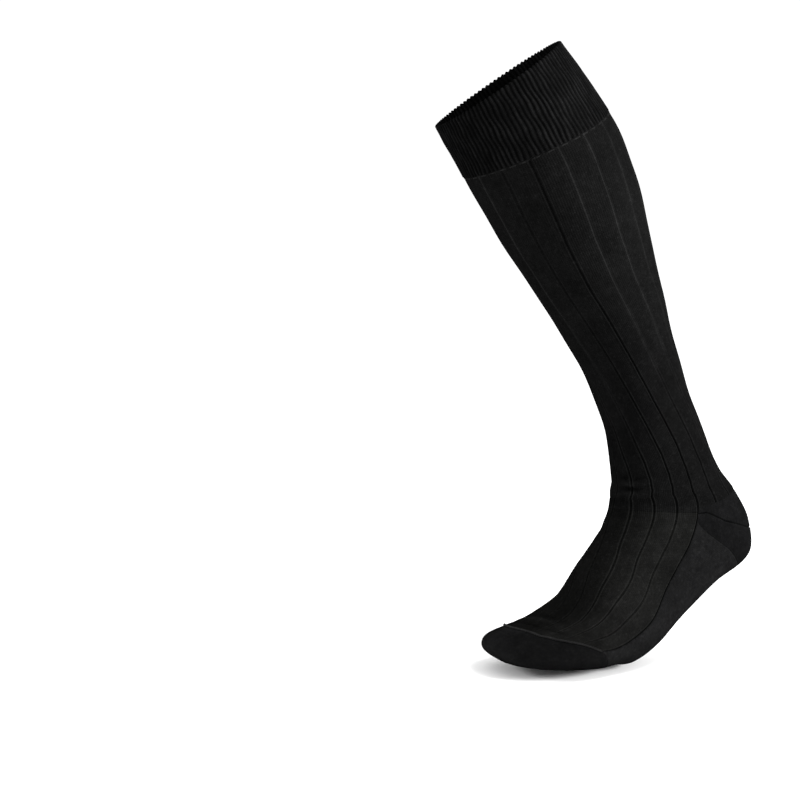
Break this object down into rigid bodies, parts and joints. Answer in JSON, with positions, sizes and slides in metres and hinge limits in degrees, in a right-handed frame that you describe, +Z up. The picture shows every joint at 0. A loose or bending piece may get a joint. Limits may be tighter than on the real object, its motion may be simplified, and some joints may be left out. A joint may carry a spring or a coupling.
{
  "type": "knee sock",
  "caption": "Knee-high sock in wide rib with a fine-ribbed cuff, turned heel pocket, plain sole and linked toe cap, kept in the form of a striding leg.",
  "frame": {"origin": "the seat of the foot: the middle of the heel hollow, where the leg's axis meets it", "axes": "+Z up, toes toward -X, little-toe side toward -Y; the heel is raised and the toes lie level"},
  "size_m": [0.2331, 0.1798, 0.4755],
  "materials": {
    "cuff_knit": "fine one-and-one rib in black cotton, matte with a faint sheen on the ribs",
    "leg_knit": "wide-panel rib in black cotton, matte, with narrow sunk wales between the panels",
    "heel_knit": "dense plain knit, darker where a second yarn reinforces it",
    "instep_knit": "the leg's wide-panel rib, stretched flatter over the foot",
    "sole_knit": "plain knit in black cotton, slightly lighter and more matte than the ribs",
    "toe_knit": "dense plain knit, darker where a second yarn reinforces it",
    "toe_seam_knit": "raised linked yarn along the closed toe"
  },
  "bodies": {
    "root": {"cuff": "cuff_knit", "leg": "leg_knit", "heel": "heel_knit", "instep": "instep_knit", "sole": "sole_knit", "toe": "toe_knit", "toe_seam": "toe_seam_knit"}
  },
  "joints": []
}
